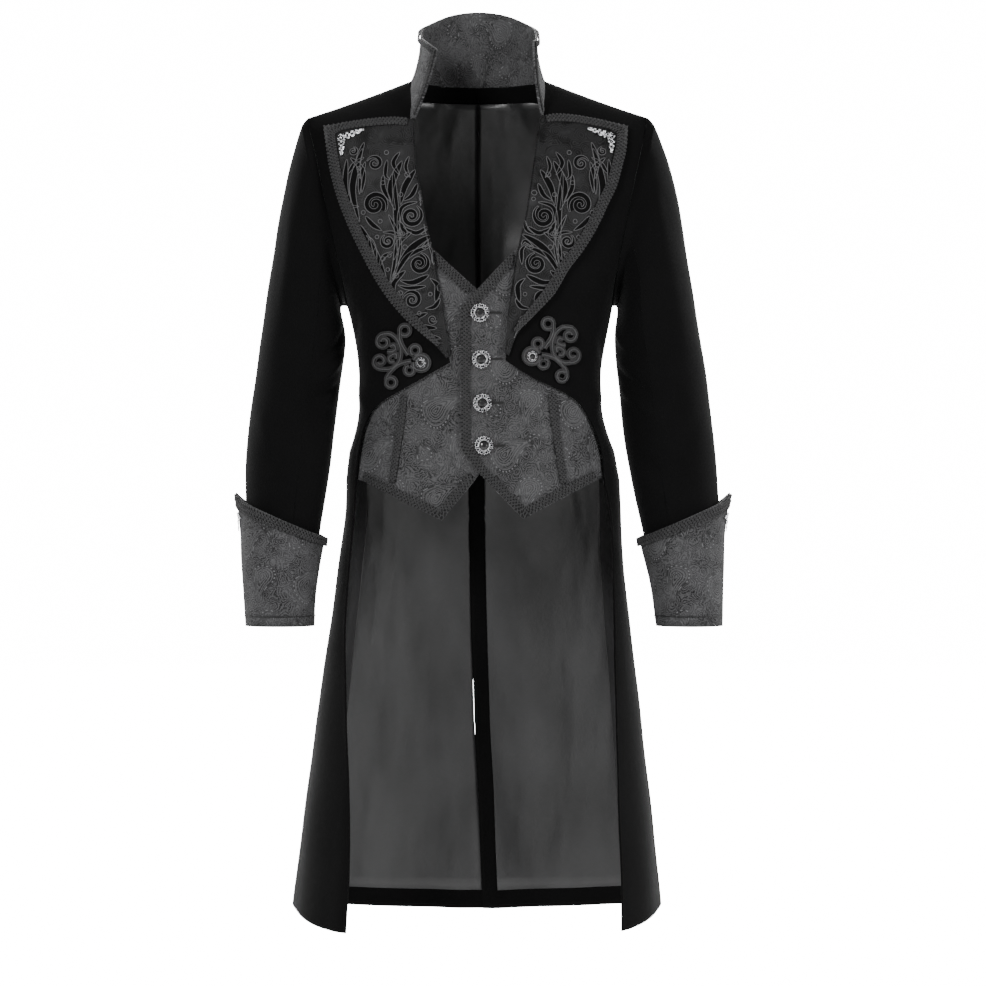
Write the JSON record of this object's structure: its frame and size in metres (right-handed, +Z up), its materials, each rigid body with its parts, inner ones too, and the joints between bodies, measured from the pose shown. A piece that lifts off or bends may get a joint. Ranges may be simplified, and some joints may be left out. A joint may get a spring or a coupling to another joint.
{
  "type": "velvet tailcoat",
  "caption": "Cutaway velvet tailcoat with a stand collar, wide peaked lapels, turned-back cuffs and a jacquard waistcoat front sewn in.",
  "frame": {"origin": "between the shoulders, at the height of the neck points, where the wearer's shoulders carry the coat", "axes": "+Z up, +X to the right as seen from the front, -Y out of the front"},
  "size_m": [0.643, 0.2735, 1.1974],
  "materials": {
    "velvet": "black pile velvet",
    "lapel_satin": "dark figured satin with applied scrollwork",
    "jacquard": "charcoal paisley jacquard",
    "lining_satin": "dark grey satin",
    "braid": "charcoal looped braid",
    "silver": "antique silver filigree",
    "button": "dark faceted stone in an antique silver rim"
  },
  "bodies": {
    "root": {"front_left": "velvet", "side_left": "velvet", "back_left": "velvet", "top_sleeve_left": "velvet", "under_sleeve_left": "velvet", "front_lining_left": "lining_satin", "side_lining_left": "lining_satin", "back_lining_left": "lining_satin", "lapel_left": "lapel_satin", "lapel_braid_left": "braid", "cuff_braid_left": "braid", "waistcoat_seam_braid_left": "braid", "frog_left": "braid", "lapel_corner_left": "silver", "cuff_corner_left": "silver", "frog_button_left": "silver", "waistcoat_front_left": "jacquard", "waistcoat_side_left": "jacquard", "cuff_left": "jacquard", "front_right": "velvet", "side_right": "velvet", "back_right": "velvet", "top_sleeve_right": "velvet", "under_sleeve_right": "velvet", "front_lining_right": "lining_satin", "side_lining_right": "lining_satin", "back_lining_right": "lining_satin", "lapel_right": "lapel_satin", "lapel_braid_right": "braid", "cuff_braid_right": "braid", "waistcoat_seam_braid_right": "braid", "frog_right": "braid", "lapel_corner_right": "silver", "cuff_corner_right": "silver", "frog_button_right": "silver", "waistcoat_front_right": "jacquard", "waistcoat_side_right": "jacquard", "cuff_right": "jacquard", "waistcoat_edge_braid_right": "braid", "waistcoat_neck_braid_left": "braid", "waistcoat_hem_braid_left": "braid", "collar_braid": "braid", "collar": "jacquard", "waistcoat_button_1": "button", "waistcoat_button_2": "button", "waistcoat_button_3": "button", "waistcoat_button_4": "button"}
  },
  "joints": []
}
